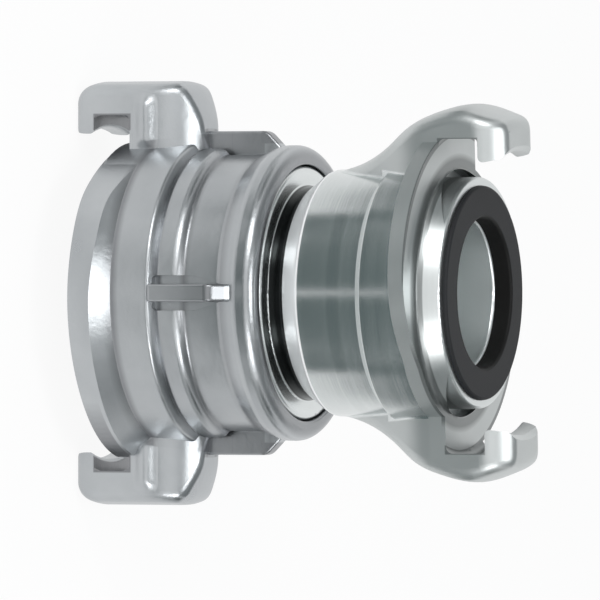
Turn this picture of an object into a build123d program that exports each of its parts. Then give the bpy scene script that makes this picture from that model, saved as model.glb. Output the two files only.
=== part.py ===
from build123d import *
from math import cos, radians, sin
import os

# Fire hose adapter with two quarter turn claw heads, millimetres.
# The waterway runs along Z.  The large head is at the bottom and its two claw noses
# are the feet at Z = 0; the small head is at the top.  All claws point along +X and -X.

# ---- levels along the axis ----
LARGE_REACH = 13.5          # claw noses past the face of the large head
FACE_TO_FACE = 111.5        # large ledge face to small seat rim
SMALL_REACH = 13.5          # claw noses past the rim of the small head

# ---- large clamp ring: its radii are built up from the barrel ----
BARREL_R = 41.4             # barrel between collar and rear lip
DRUM_STEP = 3.8             # drum behind the ledges, over the barrel
DRUM_LEN = 23.4             # face to the end of the drum
SHOULDER_STEP = 2.0         # rounded collar behind the drum, over the barrel
SHOULDER_LEN = 8.4
LIP_STEP = 2.6              # rolled rear lip, over the barrel
LIP_LEN = 9.0
RING_LEN = 56.6             # face to the back of the lip
MOUTH_DEPTH = 3.2           # hole in the rear lip, under the barrel
LIP_LAND = 3.0              # length of that hole
RIB_LEN = 5.0               # inner rib that bears on the union collar
RING_WALL = 3.4             # barrel wall over the inside
COUNTERBORE_WALL = 4.2      # drum wall round the union

# ---- claws: radii are built up from the inside of the nose ----
L_CLAW_W = 28.0             # width of a large claw
L_CLAW_EDGE = 0.13          # rounding of the claw edges, share of the claw width
L_NOSE_OVER = 4.4           # inside of the nose, over the drum
L_HOOK = 5.3                # roof of the notch past the inside of the nose
L_ARM_T = 8.5               # arm over the roof
L_NOSE_T = 6.7              # thickness of the nose
L_NOTCH_DEPTH = 4.7         # notch floor behind the ledge face
L_CLAW_FLAT = 16.6          # end of the level back, from the ledge face
L_ROOT_END = 26.4           # end of the claw root on the collar
S_CLAW_W = 30.0
S_CLAW_EDGE = 0.13
S_NOSE_R = 42.0
S_HOOK = 6.8
S_ARM_T = 7.0
S_NOSE_T = 7.8
S_CLOCKING = 4.0            # small claws sit this far round from the large ones, degrees

# ---- spiral ledges: radius climbs from the low end to the high end ----
L_LEDGE_SINK = 0.3          # low end of the ledge under the drum
L_LEDGE_PLAY = 4.5          # high end of the ledge under the roof of the claw
L_LEDGE_T = 6.4             # thickness at the rim
L_LEDGE_RUNOUT = 1.0        # axial run of the back slope for each mm of height
S_LEDGE_LOW = 38.6
S_LEDGE_PLAY = 0.9
S_LEDGE_T = 4.8

# ---- spanner lugs on the large ring ----
LUG_COUNT = 4
LUG_HEIGHT = 6.9            # over the barrel
LUG_W = 5.2
LUG_START = 24.2
LUG_END = 49.4
LUG_POCKET_W = 2.6          # pocket on each side of a lug
LUG_POCKET_LEN = 21.0
LUG_POCKET_DEPTH = 1.0

# ---- body with the small head ----
NECK_DEPTH = 6.4            # neck that the ring turns on, under the barrel of the ring
NECK_CLEARANCE = 0.4        # rib to neck, and lip to guide collar
GUIDE_LEN = 6.2             # guide collar in the mouth of the lip
WAIST_DEPTH = 9.6           # turned waist behind the ring, under the barrel of the ring
CONE_START = 60.4           # neck to barrel cone, from the large face
CONE_END = 67.0
BODY_R = 36.7               # turned barrel
BAND_R = 38.6               # turned band behind the small ledges
BAND_START = 86.0
BAND_CHAMFER = 1.9
SEAT_DROP = 6.5             # small ledge face below the seat rim
SEAT_R = 34.0               # outside of the seat rim
SEAT_FLARE = 2.5            # the seat widens by this much down to the ledge face
POCKET_PLAY = 0.2           # crescent pocket past the foot of the seat, in front of a claw
POCKET_OFFSET = 5.8         # offset of the pocket circle towards the claw
POCKET_DEPTH = 4.2
POCKET_WALL = 0.3           # metal left on the seat rim inside the pocket
BORE_R = 21.8               # waterway of the small head

# ---- gaskets and their seats ----
GASKET_PROUD = 1.4          # rubber past the rim
S_GASKET_R = 31.7
S_GASKET_BORE = 22.3
S_GASKET_SEAT = 4.0         # rim to the seat floor
L_RIM_WALL = 2.8            # seat rim outside the large gasket
L_BORE_PLAY = 0.6           # large gasket past the waterway
L_GASKET_SEAT = 4.4
GASKET_FOOT_H = 1.8
GASKET_FOOT_W = 0.8
SEAT_GAP = 0.1              # rubber to metal, all round

# ---- union: screwed bush that keeps the ring on the neck ----
UNION_PROUD = 1.2           # seat rim past the ledge face
UNION_SEAT_STEP = 2.8       # seat rim inside the counterbore
UNION_COLLAR_LEN = 9.0      # ledge face to the back of the collar
UNION_COLLAR_GAP = 0.4      # collar to counterbore
NECK_WALL = 3.6             # neck over the tube
UNION_WALL = 3.4            # wall of the tube
UNION_TUBE_LEN = 34.0       # ledge face to the end of the tube
THREAD_GAP = 0.1
WASHER_T = 2.0

# ---- retaining wire ----
WIRE_R = 1.0
WIRE_GAP = 0.3              # wire to rib
WIRE_SLIT = 24.0            # opening between the wire ends, degrees
WIRE_PLAY = 0.1

Z_LARGE = LARGE_REACH
Z_SMALL = LARGE_REACH + FACE_TO_FACE
Z_LEDGE = Z_SMALL - SEAT_DROP
DRUM_R = BARREL_R + DRUM_STEP
SHOULDER_R = BARREL_R + SHOULDER_STEP
LIP_R = BARREL_R + LIP_STEP
LIP_MOUTH_R = BARREL_R - MOUTH_DEPTH
LUG_R = BARREL_R + LUG_HEIGHT
NECK_R = BARREL_R - NECK_DEPTH
WAIST_R = BARREL_R - WAIST_DEPTH
UNION_TUBE_R = NECK_R - NECK_WALL
UNION_BORE_R = UNION_TUBE_R - UNION_WALL
COUNTERBORE_R = DRUM_R - COUNTERBORE_WALL
UNION_SEAT_R = COUNTERBORE_R - UNION_SEAT_STEP
L_GASKET_R = UNION_SEAT_R - L_RIM_WALL
L_GASKET_BORE = UNION_BORE_R + L_BORE_PLAY
L_LEDGE_LOW = DRUM_R - L_LEDGE_SINK
L_NOSE_R = DRUM_R + L_NOSE_OVER
BARREL_BORE = BARREL_R - RING_WALL
RIB_BORE = NECK_R + NECK_CLEARANCE
COLLAR_BACK = UNION_COLLAR_LEN
RIB_START = COLLAR_BACK + 0.4
L_ROOF_R = L_NOSE_R + L_HOOK
L_CLAW_R = L_ROOF_R + L_ARM_T
L_LEDGE_HIGH = L_ROOF_R - L_LEDGE_PLAY
S_ROOF_R = S_NOSE_R + S_HOOK
S_CLAW_R = S_ROOF_R + S_ARM_T
S_LEDGE_HIGH = S_ROOF_R - S_LEDGE_PLAY
SEAT_FOOT_R = SEAT_R + SEAT_FLARE
GUIDE_R = LIP_MOUTH_R - NECK_CLEARANCE


def lathe(points, rounds=()):
    """Solid of revolution about Z; points are (radius, z), rounds are (index, radius)."""
    wire = Polyline(*points, close=True)
    face = make_face(wire)
    for index, radius in rounds:
        spot = Vector(points[index][0], points[index][1], 0)
        corner = face.vertices().sort_by_distance(spot)[0]
        face = fillet(corner, radius)
    return revolve(Plane.XZ * face, Axis.Z)


def bead(face, start, sweep):
    """Part turn of a (radius, z) face about Z, from start degrees over sweep degrees."""
    return Rot(Z=start) * revolve(Plane.XZ * face, Axis.Z, sweep)


def spiral_disc(stations, low, high, inner):
    """Flat face between an inner circle and a rising edge; stations are (degrees, share of rise)."""
    edge = [
        Vector(
            (low + (high - low) * share) * cos(radians(angle)),
            (low + (high - low) * share) * sin(radians(angle)),
        )
        for angle, share in stations
    ]
    first = radians(stations[0][0])
    last = radians(stations[-1][0])
    inside_first = Vector(inner * cos(first), inner * sin(first))
    inside_last = Vector(inner * cos(last), inner * sin(last))
    middle = (first + last) / 2
    inside_mid = Vector(inner * cos(middle), inner * sin(middle))
    outline = [
        Spline(*edge),
        Line(edge[-1], inside_last),
        ThreePointArc(inside_last, inside_mid, inside_first),
        Line(inside_first, edge[0]),
    ]
    return make_face(outline)


def large_ledge():
    """Spiral ledge of the clamp ring, with a sloped back that runs out on the drum."""
    stations = ((14, 0.0), (32, 0.05), (44, 0.32), (54, 0.6), (68, 0.74), (90, 0.93), (120, 0.98), (166, 1.0))
    disc = spiral_disc(stations, L_LEDGE_LOW, L_LEDGE_HIGH, COUNTERBORE_R + 1.5)
    height = L_LEDGE_HIGH - DRUM_R
    depth = L_LEDGE_T + L_LEDGE_RUNOUT * (height + 1.0)
    solid = Pos(Z=Z_LARGE) * extrude(disc, depth)
    rim = L_LEDGE_HIGH + 2.0
    back = lathe(
        (
            (0, -20),
            (rim, -20),
            (rim, L_LEDGE_T - L_LEDGE_RUNOUT * 2.0),
            (DRUM_R - 1.0, L_LEDGE_T + L_LEDGE_RUNOUT * (height + 1.0)),
            (0, L_LEDGE_T + L_LEDGE_RUNOUT * (height + 1.0)),
        )
    )
    return solid & Pos(Z=Z_LARGE) * back


def small_ledge():
    """Spiral ledge of the small head, a flat snail with a square back."""
    stations = ((15, 1.0), (40, 1.0), (60, 0.99), (75, 0.92), (90, 0.74), (105, 0.36), (119, 0.04), (140, 0.0))
    disc = spiral_disc(stations, S_LEDGE_LOW, S_LEDGE_HIGH, SEAT_FOOT_R - 1.5)
    return Pos(Z=Z_LEDGE - S_LEDGE_T) * extrude(disc, S_LEDGE_T)


def rounded(face, corners):
    """Face with the given corners rounded; corners are ((x, y), radius)."""
    for spot, radius in corners:
        face = fillet(face.vertices().sort_by_distance(Vector(*spot))[0], radius)
    return face


def large_claw_section():
    """Outer section of a large claw in (radius, z): level back, sloping down to the collar."""
    tip = -LARGE_REACH
    root = COUNTERBORE_R + 1.0
    heel = DRUM_R - 2.0
    arm = L_CLAW_R - DRUM_R
    slope = L_ROOT_END - L_CLAW_FLAT
    back = Spline(
        Vector(L_CLAW_R, L_CLAW_FLAT),
        Vector(L_CLAW_R - 0.26 * arm, L_CLAW_FLAT + 0.60 * slope),
        Vector(L_CLAW_R - 0.62 * arm, L_CLAW_FLAT + 0.85 * slope),
        Vector(heel, L_ROOT_END),
        tangents=(Vector(0, 1), Vector(-1, 0.3)),
    )
    pts = (
        Vector(heel, L_ROOT_END),
        Vector(root, L_ROOT_END),
        Vector(root, tip),
        Vector(L_CLAW_R, tip),
        Vector(L_CLAW_R, L_CLAW_FLAT),
    )
    face = make_face([back, Polyline(*pts)])
    return Pos(Y=Z_LARGE) * rounded(face, (((L_CLAW_R, tip), 0.48 * (L_HOOK + L_ARM_T)),))


def small_claw_section():
    """Outer section of a small claw in (radius, z): long wing, arched back, rounded nose."""
    tip = SMALL_REACH
    inner = BODY_R - 4.0
    wing = BODY_R - 0.2
    foot = -(Z_SMALL - Z_LARGE - CONE_END - 1.0)
    rise = S_CLAW_R - wing
    depth = S_CLAW_R - S_NOSE_R
    back = Spline(
        Vector(wing, foot),
        Vector(wing + 0.285 * rise, 0.66 * foot),
        Vector(wing + 0.50 * rise, 0.53 * foot),
        Vector(wing + 0.76 * rise, 0.39 * foot),
        Vector(wing + 0.92 * rise, 0.22 * foot),
        Vector(S_CLAW_R, 0.12 * tip),
        Vector(S_CLAW_R - 0.17 * depth, 0.67 * tip),
        Vector(S_CLAW_R - 0.62 * depth, tip),
        tangents=(Vector(0.14, 1), Vector(-1, 0)),
    )
    pts = (
        Vector(S_CLAW_R - 0.62 * depth, tip),
        Vector(inner, tip),
        Vector(inner, foot),
        Vector(wing, foot),
    )
    return Pos(Y=Z_SMALL) * make_face([back, Polyline(*pts)])


def notch(nose_r, hook, tip, nose_back, floor, root):
    """Part turn that cuts the notch under a claw and frees the inside of its nose."""
    roof = nose_r + hook
    way = 1 if tip > floor else -1
    bevel = 0.22 * hook
    pts = (
        (root, floor),
        (roof, floor),
        (roof, nose_back),
        (nose_r, nose_back),
        (nose_r, tip - way * bevel),
        (nose_r + bevel + 1.0, tip + way),
        (root, tip + way),
    )
    face = make_face(Polyline(*pts, close=True))
    corners = (((roof, floor), 0.3 * hook), ((roof, nose_back), 0.18 * hook), ((nose_r, nose_back), 0.24 * hook))
    return bead(rounded(face, corners), -40, 80)


def flank_edges(claw, root):
    """Long edges between the flanks and the outer skin of a claw blank, above its root radius."""
    picked = []
    for edge in claw.edges():
        ends = (edge.position_at(0), edge.position_at(1))
        along = abs(ends[0].Z - ends[1].Z) > 0.2
        if along and all((spot.X ** 2 + spot.Y ** 2) ** 0.5 > root + 0.5 for spot in ends):
            picked.append(edge)
    return picked


def large_claw():
    """Large claw: straight arm, half round root in plan, flanks rounded into the back."""
    half = L_CLAW_W / 2
    start = Z_LARGE + 0.55 * L_CLAW_FLAT
    end = Z_LARGE + L_ROOT_END + 0.6
    rear = Pos(0, start) * Ellipse(half, end - start)
    arm = Pos(0, start / 2) * Rectangle(L_CLAW_W, start)
    plan = rounded(arm, (((half, 0), 0.32 * half), ((-half, 0), 0.32 * half))) + rear
    prism = extrude(Plane.YZ * plan, L_CLAW_R + 5)
    claw = bead(large_claw_section(), -30, 60) & prism
    claw = fillet(flank_edges(claw, COUNTERBORE_R + 1.0), L_CLAW_EDGE * L_CLAW_W)
    nose_back = Z_LARGE - LARGE_REACH + L_NOSE_T
    return claw - notch(L_NOSE_R, L_HOOK, 0.0, nose_back, Z_LARGE + L_NOTCH_DEPTH, DRUM_R - 6.0)


def small_claw():
    """Small claw: wing that widens from the barrel and a rounded nose."""
    half = S_CLAW_W / 2
    top = Z_SMALL + SMALL_REACH
    foot = Z_LARGE + CONE_END - 2.0
    wide = Z_LEDGE - 5.0
    middle = (foot + wide) / 2
    right = Spline(
        Vector(0.42 * half, foot),
        Vector(0.72 * half, middle),
        Vector(half, wide),
        tangents=(Vector(0.35, 1), Vector(0, 1)),
    )
    left = Spline(
        Vector(-half, wide),
        Vector(-0.72 * half, middle),
        Vector(-0.42 * half, foot),
        tangents=(Vector(0, -1), Vector(0.35, -1)),
    )
    front = top + 0.1 * half
    nose = Polyline((half, wide), (half, front), (-half, front), (-half, wide))
    base = Line((-0.42 * half, foot), (0.42 * half, foot))
    plan = make_face([right, nose, left, base])
    plan = rounded(plan, (((half, front), 0.75 * half), ((-half, front), 0.75 * half)))
    prism = extrude(Plane.YZ * plan, S_CLAW_R + 5)
    claw = bead(small_claw_section(), -35, 70) & prism
    claw = fillet(flank_edges(claw, BODY_R - 4.0), S_CLAW_EDGE * S_CLAW_W)
    return claw - notch(S_NOSE_R, S_HOOK, top, top - S_NOSE_T, Z_LEDGE, SEAT_R - 6.0)


def lug():
    """Spanner lug: a flat rib with rounded edges whose top runs down to the lip."""
    root = BARREL_BORE + 1.0
    run = LUG_R - LIP_R
    pts = (
        (root, LUG_START),
        (LUG_R, LUG_START),
        (LUG_R, LUG_END - 1.2 * run),
        (LIP_R - 1.0, LUG_END),
        (root, LUG_END),
    )
    face = make_face(Polyline(*pts, close=True))
    face = rounded(face, ((pts[1], 0.3 * run), (pts[2], 0.9 * run)))
    slab = extrude(Plane.XZ * (Pos(Y=Z_LARGE) * face), LUG_W / 2, both=True)
    top = [
        edge
        for edge in slab.edges()
        if min(edge.position_at(0).X, edge.position_at(1).X) > LIP_R - 1.2
        and abs(abs(edge.position_at(0.5).Y) - LUG_W / 2) < 0.01
    ]
    return fillet(top, 0.16 * LUG_W)


def lug_pocket():
    """Pockets on both sides of a lug, pointed towards the lip."""
    half = LUG_W / 2
    outside = half + LUG_POCKET_W
    floor = BARREL_R - LUG_POCKET_DEPTH
    taper = LUG_POCKET_LEN * 0.6
    pts = (
        (-outside, 0),
        (outside, 0),
        (outside, taper),
        (half, LUG_POCKET_LEN),
        (-half, LUG_POCKET_LEN),
        (-outside, taper),
    )
    face = make_face(Polyline(*pts, close=True))
    face = rounded(face, (((outside, 0), 0.4 * LUG_POCKET_W), ((-outside, 0), 0.4 * LUG_POCKET_W)))
    plane = Plane(origin=(floor, 0, Z_LARGE + LUG_START), x_dir=(0, 1, 0), z_dir=(1, 0, 0))
    return extrude(plane * face, LUG_R - floor)


def ring_blank():
    """Turned form of the clamp ring with its counterbore, rib and rolled lip."""
    d = DRUM_LEN
    s = d + SHOULDER_LEN
    lip = RING_LEN - LIP_LEN
    inside = BARREL_BORE + 0.8
    step = DRUM_R - SHOULDER_R
    pts = (
        (COUNTERBORE_R, 0),
        (DRUM_R, 0),
        (DRUM_R, d),
        (SHOULDER_R - 0.4 * step, d + 1.2),
        (SHOULDER_R, d + 2.6),
        (SHOULDER_R, s),
        (BARREL_R, s + 1.6),
        (BARREL_R, lip - 3.0),
        (LIP_R, lip + 2.6),
        (LIP_R, RING_LEN),
        (LIP_MOUTH_R, RING_LEN),
        (LIP_MOUTH_R, RING_LEN - LIP_LAND),
        (inside, RING_LEN - LIP_LAND),
        (inside, RIB_START + RIB_LEN),
        (RIB_BORE, RIB_START + RIB_LEN),
        (RIB_BORE, RIB_START),
        (COUNTERBORE_R, RIB_START),
    )
    rounds = ((1, 0.8), (2, 1.3), (4, 1.4), (5, 3.0), (6, 1.4), (7, 3.0), (8, 4.0), (9, 3.5), (10, 0.7))
    return Pos(Z=Z_LARGE) * lathe(pts, rounds)


def claw_ring():
    ring = ring_blank()
    for step in range(LUG_COUNT):
        turn = Rot(Z=step * 360 / LUG_COUNT)
        ring -= turn * lug_pocket()
        ring += turn * lug()
    for turn in (0, 180):
        ring += Rot(Z=turn) * large_claw()
        ring += Rot(Z=turn) * large_ledge()
    return ring


def body_blank():
    """Turned form of the body: neck, guide collar, waist, barrel, band, seat and waterway."""
    end = Z_SMALL - Z_LARGE
    ledge = end - SEAT_DROP
    inner = UNION_TUBE_R + THREAD_GAP
    foot = S_GASKET_R + GASKET_FOOT_W + SEAT_GAP
    mouth = S_GASKET_R + SEAT_GAP
    floor = end - S_GASKET_SEAT
    undercut = floor + GASKET_FOOT_H + SEAT_GAP
    wire_z = RIB_START + RIB_LEN + WIRE_GAP + WIRE_R
    cut = WIRE_R + WIRE_PLAY
    guide = RING_LEN - 0.2
    washer_end = UNION_TUBE_LEN + WASHER_T
    pts = (
        (inner, COLLAR_BACK),
        (NECK_R, COLLAR_BACK),
        (NECK_R, wire_z - cut),
        (NECK_R - WIRE_R, wire_z - cut),
        (NECK_R - WIRE_R, wire_z + cut),
        (NECK_R, wire_z + cut),
        (NECK_R, guide - GUIDE_LEN),
        (GUIDE_R, guide - GUIDE_LEN),
        (GUIDE_R, guide),
        (WAIST_R, guide),
        (WAIST_R, CONE_START),
        (BODY_R, CONE_END),
        (BODY_R, BAND_START),
        (BAND_R, BAND_START + BAND_CHAMFER),
        (BAND_R, ledge),
        (SEAT_FOOT_R, ledge),
        (SEAT_R, end),
        (mouth, end),
        (mouth, undercut),
        (foot, undercut),
        (foot, floor),
        (BORE_R, floor),
        (BORE_R, ledge - 22.0),
        (UNION_BORE_R, washer_end + 14.0),
        (UNION_BORE_R, washer_end),
        (inner, washer_end),
    )
    rounds = ((8, 1.6), (9, 0.8), (11, 2.2), (13, 0.5), (15, 1.0), (16, 0.6), (21, 0.8))
    return Pos(Z=Z_LARGE) * lathe(pts, rounds)


def seat_pocket():
    """Crescent pocket at the foot of the seat, widest in front of a claw."""
    tall = Z_SMALL + SMALL_REACH - Z_LEDGE + POCKET_DEPTH
    low = (Align.CENTER, Align.CENTER, Align.MIN)
    reach = SEAT_FOOT_R + POCKET_PLAY - POCKET_OFFSET
    cutter = Pos(POCKET_OFFSET, 0, Z_LEDGE - POCKET_DEPTH) * Cylinder(reach, tall, align=low)
    core = Pos(Z=Z_LEDGE - POCKET_DEPTH - 1.0) * Cylinder(SEAT_R + POCKET_WALL, tall + 2.0, align=low)
    return cutter - core


def reducer_body():
    body = body_blank()
    for turn in (S_CLOCKING, S_CLOCKING + 180):
        body += Rot(Z=turn) * small_claw()
        body += Rot(Z=turn) * small_ledge()
    for turn in (S_CLOCKING, S_CLOCKING + 180):
        body -= Rot(Z=turn) * seat_pocket()
    return body


def union_bush():
    """Bush with the large gasket seat; its collar carries the ring, its tube screws into the neck."""
    collar = COUNTERBORE_R - UNION_COLLAR_GAP
    mouth = L_GASKET_R + SEAT_GAP
    foot = L_GASKET_R + GASKET_FOOT_W + SEAT_GAP
    front = -UNION_PROUD
    floor = front + L_GASKET_SEAT
    pts = (
        (UNION_BORE_R, UNION_TUBE_LEN),
        (UNION_TUBE_R, UNION_TUBE_LEN),
        (UNION_TUBE_R, COLLAR_BACK),
        (collar, COLLAR_BACK),
        (collar, 2.0),
        (UNION_SEAT_R, 2.0),
        (UNION_SEAT_R, front),
        (mouth, front),
        (mouth, floor - GASKET_FOOT_H - SEAT_GAP),
        (foot, floor - GASKET_FOOT_H - SEAT_GAP),
        (foot, floor),
        (UNION_BORE_R, floor),
    )
    rounds = ((0, 0.5), (1, 0.6), (4, 0.6), (6, 0.5))
    return Pos(Z=Z_LARGE) * lathe(pts, rounds)


def gasket(outer, bore, seat, z_floor, direction):
    """Rubber ring with a foot for the undercut and a lip that stands proud of the rim."""
    tall = seat + GASKET_PROUD
    pts = [
        (bore, 0),
        (outer + GASKET_FOOT_W, 0),
        (outer + GASKET_FOOT_W, GASKET_FOOT_H),
        (outer, GASKET_FOOT_H),
        (outer, tall),
        (bore, tall),
    ]
    pts = [(r, z_floor + direction * z) for r, z in pts]
    return lathe(tuple(pts), ((1, 0.3), (4, 0.8), (5, 0.8)))


def thread_washer():
    """Flat sealing ring squeezed between the end of the union tube and the body."""
    outer = UNION_TUBE_R - 0.2
    inner = UNION_BORE_R + 0.6
    z = UNION_TUBE_LEN
    pts = ((inner, z), (outer, z), (outer, z + WASHER_T), (inner, z + WASHER_T))
    return Pos(Z=Z_LARGE) * lathe(pts)


def retaining_wire():
    """Spring wire ring in the neck groove; it stops the clamp ring from sliding back."""
    wire_z = Z_LARGE + RIB_START + RIB_LEN + WIRE_GAP + WIRE_R
    centre = NECK_R + WIRE_PLAY
    section = Pos(centre, wire_z) * Circle(WIRE_R)
    return bead(section, WIRE_SLIT / 2, 360 - WIRE_SLIT)


def large_gasket():
    return gasket(L_GASKET_R, L_GASKET_BORE, L_GASKET_SEAT, Z_LARGE - UNION_PROUD + L_GASKET_SEAT, -1)


def small_gasket():
    return gasket(S_GASKET_R, S_GASKET_BORE, S_GASKET_SEAT, Z_SMALL - S_GASKET_SEAT, 1)


def main():
    os.makedirs("parts", exist_ok=True)
    pieces = {
        "claw_ring": claw_ring(),
        "reducer_body": reducer_body(),
        "union_bush": union_bush(),
        "large_gasket": large_gasket(),
        "small_gasket": small_gasket(),
        "thread_washer": thread_washer(),
        "retaining_wire": retaining_wire(),
    }
    for name, piece in pieces.items():
        export_step(piece, f"parts/{name}.step")
        print(name, len(piece.solids()), round(piece.volume), piece.is_valid)


main()
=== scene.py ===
# %% [markdown]
# # A quarter turn fire hose adapter
# The adapter joins two sizes of fire hose. Its solids come from the CAD model, already in
# metres and in place. Blender gives them their finish, which is sand-cast aluminium, turned
# aluminium and black rubber, and sets them on a white table under soft studio light.

# %% Load the frame
import math
import bmesh
import bpy
from mathutils import Matrix, Vector
from mathutils.bvhtree import BVHTree


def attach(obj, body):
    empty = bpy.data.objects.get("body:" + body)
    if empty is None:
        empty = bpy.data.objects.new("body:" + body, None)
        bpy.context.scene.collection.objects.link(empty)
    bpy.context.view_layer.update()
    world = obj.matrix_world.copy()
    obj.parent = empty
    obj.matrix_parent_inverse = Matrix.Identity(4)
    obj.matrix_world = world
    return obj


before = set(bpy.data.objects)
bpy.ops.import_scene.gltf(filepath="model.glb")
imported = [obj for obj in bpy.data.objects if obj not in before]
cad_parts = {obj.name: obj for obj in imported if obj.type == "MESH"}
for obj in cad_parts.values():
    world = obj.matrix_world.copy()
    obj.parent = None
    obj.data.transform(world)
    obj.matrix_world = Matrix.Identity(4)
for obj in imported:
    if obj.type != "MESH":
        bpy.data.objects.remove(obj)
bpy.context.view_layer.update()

MM = 0.001

# %% [markdown]
# ## The camera
# The adapter stands on its two large claws, and its axis is the long one. The camera looks
# at it from the side and from a little above the small head, and is rolled a quarter turn,
# so that the waterway lies level across the frame. A long lens keeps both ends in scale.

# %% Camera
VIEW_ELEVATION = math.radians(22.0)
VIEW_DISTANCE = 3.0
LENS = 604.8
AIM_HEIGHT = 68.5 * MM
AIM_LEFT = 1.0416667 * MM
AIM_DOWN = 2.0833333 * MM

towards_camera = Vector((0.0, -math.cos(VIEW_ELEVATION), math.sin(VIEW_ELEVATION)))
right = Vector((0.0, math.sin(VIEW_ELEVATION), math.cos(VIEW_ELEVATION)))
up = Vector((-1.0, 0.0, 0.0))
aim = Vector((0.0, 0.0, AIM_HEIGHT)) - right * AIM_LEFT - up * AIM_DOWN
eye = aim + towards_camera * VIEW_DISTANCE

camera_data = bpy.data.cameras.new("camera")
camera_data.sensor_width = 36.0
camera_data.lens = LENS
camera_data.clip_end = 20.0
camera = bpy.data.objects.new("camera", camera_data)
bpy.context.scene.collection.objects.link(camera)
turn = Matrix((right, up, towards_camera)).transposed()
camera.matrix_world = Matrix.Translation(eye) @ turn.to_4x4()
bpy.context.scene.camera = camera
print("lens", round(camera_data.lens, 1), "mm from", VIEW_DISTANCE, "m")

# %% [markdown]
# ## Small helpers for materials
# A material is a Principled BSDF fed by a few texture nodes. These helpers add a node, put
# a value into a socket and make a sum, so that every finish below reads as a short recipe.
# What comes out of a node is passed on as a pair: the node, and the name of its output.

# %% Nodes and links
def new_material(name):
    material = bpy.data.materials.new(name)
    material.use_nodes = True
    tree = material.node_tree
    tree.nodes.clear()
    output = tree.nodes.new("ShaderNodeOutputMaterial")
    shader = tree.nodes.new("ShaderNodeBsdfPrincipled")
    tree.links.new(shader.outputs["BSDF"], output.inputs["Surface"])
    return material, tree, shader


def add(tree, kind, **settings):
    node = tree.nodes.new(kind)
    for key, value in settings.items():
        setattr(node, key, value)
    return node


def put(tree, value, socket):
    """Link a pair of node and output into a socket, or write a plain value on it."""
    if isinstance(value, tuple) and isinstance(value[0], bpy.types.Node):
        tree.links.new(value[0].outputs[value[1]], socket)
    else:
        socket.default_value = value


print("nodes and links ready")

# %% [markdown]
# ## Sums and masks
# A mask is a number from 0 to 1 over the surface. Most masks here say how far a point is
# from the waterway axis and how high it is, because the adapter is a round part. Their
# edges are a little soft, as painted shade and tool marks never stop at a line.

# %% Sums
SOFT_EDGE = 0.3 * MM


def calc(tree, operation, *values):
    node = add(tree, "ShaderNodeMath", operation=operation)
    for value, socket in zip(values, node.inputs):
        put(tree, value, socket)
    return node, 0


def fold(tree, operation, first, *others):
    """One operation taken over any number of sources, such as the product of masks."""
    for other in others:
        first = calc(tree, operation, first, other)
    return first


def span(tree, source, low, high, to_low=0.0, to_high=1.0):
    """A number between two limits, stretched to two others and held there beyond them."""
    node = add(tree, "ShaderNodeMapRange")
    for name, value in (("Value", source), ("From Min", low), ("From Max", high),
                        ("To Min", to_low), ("To Max", to_high)):
        put(tree, value, node.inputs[name])
    return node, "Result"


def blend(tree, kind, low, high, mask):
    """Mix of two numbers (FLOAT) or two colours (RGBA) by a mask."""
    node = add(tree, "ShaderNodeMix", data_type=kind)
    first, second, result = {"FLOAT": (2, 3, 0), "RGBA": (6, 7, 2)}[kind]
    for slot, value in ((0, mask), (first, low), (second, high)):
        put(tree, value, node.inputs[slot])
    return node, result


print("sums ready")

# %% Masks on a round part
def around_axis(tree):
    """The place on the part, its X, Y and Z, and its distance from the waterway axis."""
    place = (add(tree, "ShaderNodeTexCoord"), "Object")
    parts = add(tree, "ShaderNodeSeparateXYZ")
    put(tree, place, parts.inputs["Vector"])
    level = add(tree, "ShaderNodeCombineXYZ")
    for axis in "XY":
        put(tree, (parts, axis), level.inputs[axis])
    radius = add(tree, "ShaderNodeVectorMath", operation="LENGTH")
    put(tree, (level, 0), radius.inputs[0])
    return place, parts, (radius, "Value")


def within(tree, source, low, high, fade=SOFT_EDGE):
    """1 where a number lies between two limits, with a soft edge."""
    half = (high - low) / 2
    away = calc(tree, "ABSOLUTE", calc(tree, "SUBTRACT", source, (low + high) / 2))
    return span(tree, away, half, half + fade, 1.0, 0.0)


def belt(tree, parts, radius, radii, heights, fade=SOFT_EDGE):
    """1 between two radii and between two heights."""
    ring = within(tree, radius, *radii, fade)
    return calc(tree, "MULTIPLY", ring, within(tree, (parts, "Z"), *heights))


def make_ramp(tree, source, stops):
    """Grey ramp with a tone at each place between 0 and 1."""
    ramp = add(tree, "ShaderNodeValToRGB")
    marks = ramp.color_ramp.elements
    while len(marks) < len(stops):
        marks.new(0.5)
    for mark, (at, tone) in zip(marks, stops):
        mark.position = at
        mark.color = (tone, tone, tone, 1.0)
    put(tree, source, ramp.inputs["Fac"])
    return ramp, "Color"


print("masks ready")

# %% Noise, bumps and groups
def noise(tree, at, scale, detail, roughness=0.5, dimensions="3D"):
    """Cloudy noise at a place, or along one number where the dimensions are 1D."""
    node = add(tree, "ShaderNodeTexNoise", noise_dimensions=dimensions)
    put(tree, at, node.inputs["W" if dimensions == "1D" else "Vector"])
    for name, value in (("Scale", scale), ("Detail", detail), ("Roughness", roughness)):
        put(tree, value, node.inputs[name])
    return node, "Fac"


def bump(tree, height, strength, distance):
    node = add(tree, "ShaderNodeBump")
    for name, value in (("Height", height), ("Strength", strength), ("Distance", distance)):
        put(tree, value, node.inputs[name])
    return node, "Normal"


def new_group(name, inputs, outputs):
    group = bpy.data.node_groups.new(name, "ShaderNodeTree")
    sockets = group.interface
    for label, value in inputs.items():
        socket = sockets.new_socket(label, in_out="INPUT", socket_type="NodeSocketFloat")
        socket.default_value = value
    for label in outputs:
        sockets.new_socket(label, in_out="OUTPUT", socket_type="NodeSocketFloat")
    given = add(group, "NodeGroupInput")
    out = add(group, "NodeGroupOutput").inputs
    return group, given, out


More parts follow.
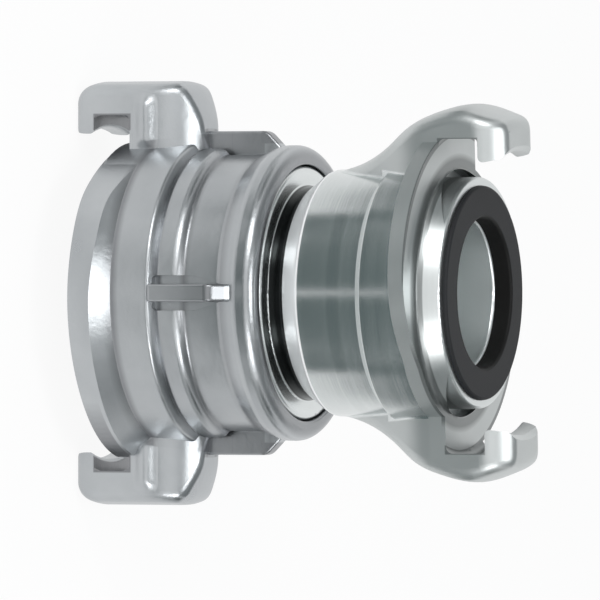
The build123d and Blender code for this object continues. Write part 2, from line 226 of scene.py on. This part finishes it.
def use_group(tree, group, values):
    node = add(tree, "ShaderNodeGroup", node_tree=group)
    for label, value in values.items():
        put(tree, value, node.inputs[label])
    return node


print("noise, bumps and groups ready")

# %% [markdown]
# ## Cast grain
# Aluminium from a sand mould has a fine pebbled skin, a few soft dents where the mould
# gave way, and slow changes of grey. One node group makes all three, so that the ring and
# the cast parts of the body share it with their own amounts.

# %% Cast grain group
DENTS_SCALE = 95.0
CLOUDS_SCALE = 38.0


def make_cast_grain():
    group, given, out = new_group(
        "cast grain",
        {"Pebble Scale": 900.0, "Pebble Height": 0.4, "Mottle": 0.5},
        ("Height", "Shade"),
    )
    place = (add(group, "ShaderNodeTexCoord"), "Object")
    pebbles = noise(group, place, (given, "Pebble Scale"), detail=4.0, roughness=0.6)
    fine = calc(group, "MULTIPLY", pebbles, (given, "Pebble Height"))
    dents = noise(group, place, DENTS_SCALE, detail=2.0)
    put(group, calc(group, "ADD", fine, dents), out["Height"])
    clouds = noise(group, place, CLOUDS_SCALE, detail=5.0)
    centred = calc(group, "SUBTRACT", clouds, 0.5)
    put(group, calc(group, "MULTIPLY", centred, (given, "Mottle")), out["Shade"])
    return group


cast_grain = make_cast_grain()
print("group", cast_grain.name, "with", len(cast_grain.nodes), "nodes")

# %% [markdown]
# ## Cast or turned
# The body is one casting. The lathe has cut its barrel, band, cone and seat, and the claws,
# the wings and the ledges keep the skin of the mould. Distance from the axis tells the two
# apart: what stands out past the barrel or the band is cast. So are the ledges, and the
# pocket at the foot of the seat, which no tool can reach past the claw.

# %% Cast mask
CAST_FROM = 37.1 * MM
CAST_FROM_BAND = 38.95 * MM
CAST_EDGE = 0.4 * MM
BAND_FROM = 99.3 * MM
LEDGE = (113.4 * MM, 119.6 * MM)
POCKET = ((34.15 * MM, 38.0 * MM), (113.4 * MM, 126.0 * MM))
POCKET_HALF = 20.0 * MM
POCKET_EDGES = (0.2 * MM, 6.0 * MM)


def cast_mask(tree, parts, radius):
    """1 on the cast skin of the body and 0 on its turned faces."""
    on_band = calc(tree, "GREATER_THAN", (parts, "Z"), BAND_FROM)
    limit = calc(tree, "MULTIPLY_ADD", on_band, CAST_FROM_BAND - CAST_FROM, CAST_FROM)
    standing_out = span(tree, calc(tree, "SUBTRACT", radius, limit), 0.0, CAST_EDGE)
    ledge = within(tree, (parts, "Z"), *LEDGE)
    round_edge, side_edge = POCKET_EDGES
    across = calc(tree, "ABSOLUTE", (parts, "Y"))
    by_claw = within(tree, across, 0.0, POCKET_HALF, side_edge)
    foot = belt(tree, parts, radius, *POCKET, round_edge)
    pocket = calc(tree, "MULTIPLY", by_claw, foot)
    return fold(tree, "MAXIMUM", standing_out, ledge, pocket)


print("cast skin from", round(CAST_FROM / MM, 1), "mm out of the axis")

# %% [markdown]
# ## Turning marks
# A lathe leaves fine rings: round a cylinder they lie side by side along its length, and on
# a flat face they run one inside the other. Radius plus height counts across both, so one
# noise along that number draws the marks on every turned face. The group also gives a mask
# for each zone of the body with a look of its own: the waist, painted nearly black as shade;
# the cone, painted near white as a painted reflection; the bore, lighter and duller; the
# seat; and the painted shade under the hooks.

# %% Turning group
# The waist mask carries painted shade and the cone mask a painted reflection.
ZONES = {
    "Waist": ((0.0, 33.6 * MM), (70.3 * MM, 74.6 * MM)),
    "Cone": ((0.0, 37.0 * MM), (73.7 * MM, 80.9 * MM)),
    "Bore": ((0.0, 22.6 * MM), (85.0 * MM, 130.0 * MM)),
}
SEAT = (118.8 * MM, 127.0 * MM)
# painted shade goes inside the small hooks and at the foot of the seat
SMALL_HOOK = ((46.6 * MM, 48.9 * MM), (118.3 * MM, 130.6 * MM))
SEAT_FOOT = ((35.5 * MM, 39.5 * MM), (117.5 * MM, 120.2 * MM), 2.0 * MM)
STREAKS_SCALE = 260.0


def make_turning():
    group, given, out = new_group(
        "turning", {"Marks": 1500.0},
        ("Height", "Streak", "Cast", "Waist", "Cone", "Bore", "Hook", "Seat"),
    )
    _, parts, radius = around_axis(group)
    across = calc(group, "ADD", radius, (parts, "Z"))
    marks = noise(group, across, (given, "Marks"), 3.0, roughness=0.7, dimensions="1D")
    put(group, marks, out["Height"])
    streaks = noise(group, across, STREAKS_SCALE, 4.0, dimensions="1D")
    put(group, streaks, out["Streak"])
    put(group, cast_mask(group, parts, radius), out["Cast"])
    put(group, within(group, (parts, "Z"), *SEAT), out["Seat"])
    hook = belt(group, parts, radius, *SMALL_HOOK)
    foot = belt(group, parts, radius, *SEAT_FOOT)
    put(group, calc(group, "MAXIMUM", hook, foot), out["Hook"])
    for name, limits in ZONES.items():
        put(group, belt(group, parts, radius, *limits), out[name])
    return group


turning = make_turning()
print("group", turning.name, "with", len(turning.nodes), "nodes")

# %% [markdown]
# ## Painted shade in the corners
# The steps of the ring, the inside of the large hooks, the pockets beside the spanner lugs
# and the slopes at their ends get painted shade: darker grey where less light falls. A
# colour ramp along the axis marks the steps: each stop is a distance in millimetres from
# the ring's face, with the amount of painted shade there.

# %% Painted shade beside the lugs
LUG_REACH = 6.0 * MM
LUG_HALF = 2.6 * MM
LUG_SPREAD = ((0.0, 0.5), (0.38, 0.5), (0.45, 1.0), (0.66, 1.0), (0.95, 0.0))
LUG_ZONE = ((41.7 * MM, 49.0 * MM), (38.0 * MM, 57.0 * MM))
LUG_SLOPE = ((44.7 * MM, 49.0 * MM), (56.0 * MM, 64.0 * MM))


def lug_mask(tree, parts, radius):
    """1 in the pockets beside the four lugs and on the slopes at their ends."""
    sides = [calc(tree, "ABSOLUTE", (parts, axis)) for axis in "XY"]
    from_lug = fold(tree, "MINIMUM", *sides)
    spread = make_ramp(tree, calc(tree, "DIVIDE", from_lug, LUG_REACH), LUG_SPREAD)
    beside = calc(tree, "MULTIPLY", spread, belt(tree, parts, radius, *LUG_ZONE))
    on_lug = within(tree, from_lug, 0.0, LUG_HALF)
    slope = calc(tree, "MULTIPLY", on_lug, belt(tree, parts, radius, *LUG_SLOPE))
    return calc(tree, "MAXIMUM", beside, slope)


print("painted lug shade reaches", round(LUG_REACH / MM, 1), "mm to each side")

# %% Corner shade group
RING_FACE = 13.5 * MM
RING_LENGTH = 56.6 * MM
STEPS = (
    (0.0, 0.0), (9.5, 0.0), (12.2, 0.75), (14.0, 0.1), (22.0, 0.0), (24.3, 0.1),
    (25.4, 0.8), (26.6, 0.1), (31.5, 0.0), (33.2, 0.7), (35.2, 0.12), (43.0, 0.05),
    (45.2, 0.45), (48.0, 0.0), (55.0, 0.0), (56.6, 0.5),
)
STEPS_REACH = 47.6 * MM
LARGE_HOOK = ((50.7 * MM, 55.2 * MM), (6.6 * MM, 18.4 * MM))


def make_corner_shade():
    group, given, out = new_group(
        "corner shade", {"Steps": 1.0, "Hooks": 1.0, "Lugs": 0.7}, ("Painted Shade",))
    _, parts, radius = around_axis(group)
    along = span(group, (parts, "Z"), RING_FACE, RING_FACE + RING_LENGTH)
    stops = [(at * MM / RING_LENGTH, tone) for at, tone in STEPS]
    low_parts = within(group, radius, 0.0, STEPS_REACH)
    steps = fold(group, "MULTIPLY",
                 make_ramp(group, along, stops), low_parts, (given, "Steps"))
    hook = belt(group, parts, radius, *LARGE_HOOK)
    hooks = calc(group, "MULTIPLY", hook, (given, "Hooks"))
    lugs = calc(group, "MULTIPLY", lug_mask(group, parts, radius), (given, "Lugs"))
    # steps, hooks and lugs together give the painted shade
    put(group, fold(group, "MAXIMUM", steps, hooks, lugs), out["Painted Shade"])
    return group


corner_shade = make_corner_shade()
print("group", corner_shade.name, "with", len(corner_shade.nodes), "nodes")

# %% [markdown]
# ## Cast aluminium
# The ring is cast and tumbled: a light grey metal whose highlights are broad and soft. A
# metal takes its colour and its shine from the same place, so it is one shader at full
# Metallic with a middling roughness. The grain group adds the skin, and the corner shade
# group paints darker shade into the corners.

# %% Cast ring
RING_TONES = ((0.40, 0.42, 0.435, 1.0), (0.53, 0.55, 0.565, 1.0))
RING_ROUGHNESS = (0.27, 0.39)
# painted shade: the dark grey mixed into the ring's corners
RING_PAINTED_SHADE = (0.14, 0.14, 0.15, 1.0)


def make_cast_ring():
    material, tree, shader = new_material("cast aluminium")
    grain = use_group(tree, cast_grain,
                      {"Pebble Scale": 850.0, "Pebble Height": 0.35, "Mottle": 1.3})
    skin = bump(tree, (grain, "Height"), strength=0.22, distance=0.6 * MM)
    put(tree, skin, shader.inputs["Normal"])
    dullness = span(tree, (grain, "Shade"), -0.25, 0.25, *RING_ROUGHNESS)
    put(tree, dullness, shader.inputs["Roughness"])
    tone = blend(tree, "RGBA", *RING_TONES, span(tree, (grain, "Shade"), -0.3, 0.3))
    # painted shade in the steps, in the large hooks and beside the lugs
    corners = use_group(tree, corner_shade, {"Steps": 0.8, "Hooks": 0.7, "Lugs": 0.55})
    tone = blend(tree, "RGBA", tone, RING_PAINTED_SHADE, (corners, "Painted Shade"))
    put(tree, tone, shader.inputs["Base Color"])
    shader.inputs["Metallic"].default_value = 1.0
    return material


ring_metal = make_cast_ring()
print("material", ring_metal.name)

# %% [markdown]
# ## Turned aluminium
# The barrel, the band, the seat and the waterway of the body are turned bright. Their
# roughness is low, and it wanders a little from mark to mark, so that the reflections of
# the studio break into fine lines. The masks of the turning group then give each zone its
# own tone: the claws keep their cast skin, the waist is painted nearly black as shade, the
# cone near white as a painted reflection, and the hooks darker with painted shade.

# %% Turned body
TURNED_TONES = ((0.63, 0.66, 0.66, 1.0), (0.69, 0.72, 0.72, 1.0))
TURNED_ROUGHNESS = (0.19, 0.23)
SEAT_ROUGHNESS, BORE_ROUGHNESS, CAST_ROUGHNESS = 0.30, 0.36, 0.40
CAST_TONES = ((0.50, 0.53, 0.53, 1.0), (0.64, 0.66, 0.66, 1.0))
# painted shade: dark grey inside the small hooks and at the foot of the seat
HOOK_PAINTED_SHADE = (0.14, 0.15, 0.15, 1.0)
# painted reflection: near white, and half diffuse, for the bright reflection on the cone
CONE_PAINTED_REFLECTION = (0.94, 0.95, 0.96, 1.0)
BORE_TONE = (0.86, 0.90, 0.90, 1.0)
# painted shade: nearly black for the shaded groove of the waist
WAIST_PAINTED_SHADE = (0.02, 0.022, 0.022, 1.0)


def body_tone(tree, grain, marks):
    """The colour of the body, from its turned faces to the painted shade in its waist."""
    streaked = span(tree, (marks, "Streak"), 0.3, 0.7)
    turned = blend(tree, "RGBA", *TURNED_TONES, streaked)
    cast = blend(tree, "RGBA", *CAST_TONES, span(tree, (grain, "Shade"), -0.3, 0.3))
    tone = blend(tree, "RGBA", turned, cast, (marks, "Cast"))
    # painted shade in the small hooks and at the seat foot
    hook_shade = span(tree, (marks, "Hook"), 0.0, 1.0, 0.0, 0.7)
    tone = blend(tree, "RGBA", tone, HOOK_PAINTED_SHADE, hook_shade)
    # painted reflection on the cone
    tone = blend(tree, "RGBA", tone, CONE_PAINTED_REFLECTION, (marks, "Cone"))
    tone = blend(tree, "RGBA", tone, BORE_TONE, (marks, "Bore"))
    # painted shade in the waist groove
    return blend(tree, "RGBA", tone, WAIST_PAINTED_SHADE, (marks, "Waist"))


def make_turned_body():
    material, tree, shader = new_material("turned aluminium")
    grain = use_group(tree, cast_grain,
                      {"Pebble Scale": 700.0, "Pebble Height": 0.3, "Mottle": 0.5})
    marks = use_group(tree, turning, {"Marks": 1500.0})
    height = blend(tree, "FLOAT", (marks, "Height"), (grain, "Height"), (marks, "Cast"))
    skin = bump(tree, height, strength=0.05, distance=0.3 * MM)
    put(tree, skin, shader.inputs["Normal"])
    dullness = span(tree, (marks, "Streak"), 0.3, 0.7, *TURNED_ROUGHNESS)
    for zone, value in (("Seat", SEAT_ROUGHNESS), ("Bore", BORE_ROUGHNESS),
                        ("Cast", CAST_ROUGHNESS)):
        dullness = blend(tree, "FLOAT", dullness, value, (marks, zone))
    put(tree, dullness, shader.inputs["Roughness"])
    put(tree, body_tone(tree, grain, marks), shader.inputs["Base Color"])
    metallic = span(tree, (marks, "Cone"), 0.0, 1.0, 1.0, 0.5)
    put(tree, metallic, shader.inputs["Metallic"])
    return material


body_metal = make_turned_body()
print("material", body_metal.name)

# %% [markdown]
# ## Rubber
# The face seals are moulded black rubber: almost black, with a dull sheen and a very fine
# grain. The wall inside the seal is painted blacker still, as painted shade.

# %% Rubber
RUBBER_TONE = (0.014, 0.015, 0.017, 1.0)
# painted shade: nearly black on the shaded wall inside the seal
SHADED_WALL_TONE = (0.002, 0.002, 0.002, 1.0)
SHADED_WALL_WITHIN = (22.6 * MM, 23.4 * MM)


def make_rubber():
    material, tree, shader = new_material("black rubber")
    place, _, radius = around_axis(tree)
    skin = bump(tree, noise(tree, place, 1400.0, 3.0), strength=0.15, distance=0.2 * MM)
    put(tree, skin, shader.inputs["Normal"])
    # painted shade inside the seal
    shaded_wall = span(tree, radius, *SHADED_WALL_WITHIN, 1.0, 0.0)
    tone = blend(tree, "RGBA", RUBBER_TONE, SHADED_WALL_TONE, shaded_wall)
    put(tree, tone, shader.inputs["Base Color"])
    shader.inputs["Roughness"].default_value = 0.6
    shader.inputs["Specular IOR Level"].default_value = 0.28
    return material


rubber = make_rubber()
print("material", rubber.name)

# %% Give each node its finish
FINISHES = {
    "claw_ring": ring_metal,
    "reducer_body": body_metal,
    "union_bush": body_metal,
    "retaining_wire": body_metal,
    "large_gasket": rubber,
    "small_gasket": rubber,
    "thread_washer": rubber,
}
for name, finish in FINISHES.items():
    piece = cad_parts[name]
    piece.data.materials.clear()
    piece.data.materials.append(finish)
    print(name, "is", finish.name)

# %% [markdown]
# ## Swollen flanks
# The flanks of the large claws are not flat: they swell a little behind the hook, where
# the mould was cut deeper. Each swelling is a fine grid laid on the flank by casting rays
# at the ring, raised in a smooth hump, and closed at the back with solidify. Its edge lies
# just under the skin of the claw, so that no seam shows.

# %% The form of a swelling
SWELL_MIDDLE = (51.0 * MM, 23.2 * MM)
SWELL_HALF = (9.0 * MM, 4.3 * MM)
SWELL_HEIGHT = 1.6 * MM
SWELL_SINK = 0.02 * MM
SWELL_WALL = 1.2 * MM
SWELL_GRID = (48, 40)
FLANK = 14.0 * MM


def hump(share):
    """1 in the middle, falling in a smooth wave to 0 at the edge."""
    return 0.5 + 0.5 * math.cos(math.pi * min(abs(share), 1.0))


def plateau(share):
    """1 over the inner half, falling to 0 over the outer one."""
    return hump(max(abs(share) - 0.5, 0.0) / 0.5)


def lay_swelling(swell, ring_skin, claw, flank):
    """Add the grid on one flank of one claw, each of them -1 or 1, facing outwards."""
    made = bmesh.ops.create_grid(
        swell, x_segments=SWELL_GRID[0], y_segments=SWELL_GRID[1], size=1.0)
    for vert in made["verts"]:
        along, level = vert.co.x, vert.co.y
        x = claw * (SWELL_MIDDLE[0] + along * SWELL_HALF[0])
        z = SWELL_MIDDLE[1] + level * SWELL_HALF[1]
        outside = Vector((x, flank * FLANK * 4, z))
        hit = ring_skin.ray_cast(outside, Vector((0, -flank, 0)))
        skin = min(abs(hit[0].y), FLANK) if hit[0] else FLANK
        rise = SWELL_HEIGHT * hump(level) * plateau(along) - SWELL_SINK
        vert.co = (x, flank * (skin + rise), z)
    if claw == flank:
        laid = {face for vert in made["verts"] for face in vert.link_faces}
        bmesh.ops.reverse_faces(swell, faces=list(laid))


print("a swelling rises", round(SWELL_HEIGHT / MM, 1), "mm")

# %% Swellings on both claws
def make_swells(ring):
    ring_skin = BVHTree.FromObject(ring, bpy.context.evaluated_depsgraph_get())
    swell = bmesh.new()
    for claw in (-1, 1):
        for flank in (-1, 1):
            lay_swelling(swell, ring_skin, claw, flank)
    swell.normal_update()
    bmesh.ops.solidify(swell, geom=swell.faces[:], thickness=SWELL_WALL)
    bmesh.ops.recalc_face_normals(swell, faces=swell.faces)
    mesh = bpy.data.meshes.new("swollen_flanks")
    swell.to_mesh(mesh)
    swell.free()
    mesh.shade_smooth()
    mesh.materials.append(ring_metal)
    piece = bpy.data.objects.new("swollen_flanks", mesh)
    bpy.context.scene.collection.objects.link(piece)
    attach(piece, "clamp_ring")
    return piece


swells = make_swells(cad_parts["claw_ring"])
reach = max(vert.co.y for vert in swells.data.vertices)
print("swellings reach", round(reach / MM, 2), "mm from the middle of the claw")

# %% [markdown]
# ## Floor and background
# A white table and white walls are round the part. To the camera and in mirrors the table
# and the walls are plain white, and the table keeps the soft shadow that the part throws.
# The Light Path node tells those two kinds of ray from the rays that only carry light.

# %% Plain sheets
def white_to_eye(tree, share):
    """A share for rays from the camera, off mirrors and through glass, and else 0."""
    path = add(tree, "ShaderNodeLightPath")
    seen = fold(tree, "MAXIMUM", (path, "Is Camera Ray"), (path, "Is Glossy Ray"),
                (path, "Is Transmission Ray"))
    return calc(tree, "MULTIPLY", seen, share)


def mix_shaders(tree, factor, lower, upper):
    mix = add(tree, "ShaderNodeMixShader")
    for slot, value in enumerate((factor, lower, upper)):
        put(tree, value, mix.inputs[slot])
    return mix, "Shader"


def add_sheet(name, sheet):
    """Turn a bmesh into a scene object of its own."""
    mesh = bpy.data.meshes.new(name)
    sheet.to_mesh(mesh)
    sheet.free()
    piece = bpy.data.objects.new(name, mesh)
    bpy.context.scene.collection.objects.link(piece)
    return piece


print("sheets ready")

# %% White table
TABLE_HALF = 6.0
TABLE_GLOW = 0.92

sheet = bmesh.new()
bmesh.ops.create_grid(sheet, x_segments=1, y_segments=1, size=TABLE_HALF)
floor = add_sheet("table", sheet)
table, tree, paper = new_material("white table")
paper.inputs["Base Color"].default_value = (0.86, 0.86, 0.86, 1.0)
paper.inputs["Roughness"].default_value = 0.9
paper.inputs["Specular IOR Level"].default_value = 0.1
glow = add(tree, "ShaderNodeEmission")
glow.inputs["Strength"].default_value = 1.0
mixed = mix_shaders(tree, white_to_eye(tree, TABLE_GLOW), (paper, "BSDF"), (glow, "Emission"))
put(tree, mixed, tree.nodes["Material Output"].inputs["Surface"])
floor.data.materials.append(table)
print("table shows white to", TABLE_GLOW)

# %% White walls
ROOM_LIGHT = 0.55

world = bpy.data.worlds.new("studio")
world.use_nodes = True
tree = world.node_tree
room = tree.nodes["Background"]
room.inputs["Color"].default_value = (0.95, 0.98, 1.0, 1.0)
room.inputs["Strength"].default_value = ROOM_LIGHT
walls = add(tree, "ShaderNodeBackground")
walls.inputs["Color"].default_value = (1.0, 1.0, 1.0, 1.0)
walls.inputs["Strength"].default_value = 1.0
mixed = mix_shaders(
    tree, white_to_eye(tree, 1.0), (room, "Background"), (walls, "Background"))
put(tree, mixed, tree.nodes["World Output"].inputs["Surface"])
bpy.context.scene.world = world
print("room light", ROOM_LIGHT)

# %% [markdown]
# ## Dark cards
# Bare metal in an all-white room looks like paper. In a studio, dark cards stand beside
# it: the turned barrel then mirrors a card in front and the bright room at both sides, and
# the metal gets its grey bands. A narrow slit between the two halves of the front card
# leaves a pale line along the barrel. The cards are only seen in reflections.

# %% Card helpers
FLOOR_TONE = (0.13, 0.16, 0.16)
SIDE_TONE = (0.13, 0.15, 0.15)
CEILING_TONE = (0.55, 0.57, 0.57)


def dark_card(name, corners, tone):
    sheet = bmesh.new()
    sheet.faces.new([sheet.verts.new(corner) for corner in corners])
    piece = add_sheet(name, sheet)
    felt, tree, shader = new_material(name)
    shader.inputs["Base Color"].default_value = (*tone, 1.0)
    shader.inputs["Roughness"].default_value = 1.0
    shader.inputs["Specular IOR Level"].default_value = 0.0
    piece.data.materials.append(felt)
    piece.visible_camera = False
    piece.visible_diffuse = False
    piece.visible_shadow = False


def lying(x0, x1, y0, y1, z):
    return ((x0, y0, z), (x1, y0, z), (x1, y1, z), (x0, y1, z))


def standing(x, y0, y1, z0, z1):
    return ((x, y0, z0), (x, y1, z0), (x, y1, z1), (x, y0, z1))


print("card helpers ready")

# %% Dark cards
LYING_CARDS = (
    ("card in front", (0.007, 0.25), (-1.2, -0.13), 0.002),
    ("strip in front", (0.15, 0.262), (-0.13, -0.065), 0.002),
    ("card at the side", (0.262, 0.7), (-0.5, 0.3), 0.003),
)
SCREEN = (-0.45, 0.35, 0.1, 0.5)
SCREEN_AWAY = 0.9
CEILING_HALF, CEILING_HEIGHT = 2.5, 1.9

for side in (-1, 1):
    for name, across, along, height in LYING_CARDS:
        x_limits = sorted(side * x for x in across)
        dark_card(name, lying(*x_limits, *along, height), FLOOR_TONE)
dark_card("screen on the left", standing(-SCREEN_AWAY, *SCREEN), SIDE_TONE)
dark_card("screen on the right", standing(SCREEN_AWAY, *SCREEN), SIDE_TONE)
ceiling = lying(-CEILING_HALF, CEILING_HALF, -CEILING_HALF, CEILING_HALF, CEILING_HEIGHT)
dark_card("ceiling", ceiling, CEILING_TONE)
print("six cards, two screens and a grey ceiling")

# %% [markdown]
# ## Lamps
# Three soft boxes draw the highlights that show a turned surface: one above the front, and
# one at each front corner, low enough to light the flanks of the claws.

# %% Lamps
BOXES = (
    ("box above the front", (0.0, -0.55, 1.25), (0.6, 0.6), 5.0),
    ("box at the left", (-0.8, -0.8, 0.5), (0.35, 0.5), 4.0),
    ("box at the right", (0.8, -0.8, 0.5), (0.35, 0.5), 3.0),
)
LAMPS_AIM = Vector((0.0, 0.0, 0.07))

for name, place, size, power in BOXES:
    lamp = bpy.data.lights.new(name, "AREA")
    lamp.shape = "RECTANGLE"
    lamp.size, lamp.size_y = size
    lamp.energy = power
    box = bpy.data.objects.new(name, lamp)
    bpy.context.scene.collection.objects.link(box)
    facing = (LAMPS_AIM - Vector(place)).to_track_quat("-Z", "Y")
    box.matrix_world = Matrix.Translation(Vector(place)) @ facing.to_matrix().to_4x4()
    print(name, power, "W")

bpy.context.scene.view_settings.view_transform = "Standard"
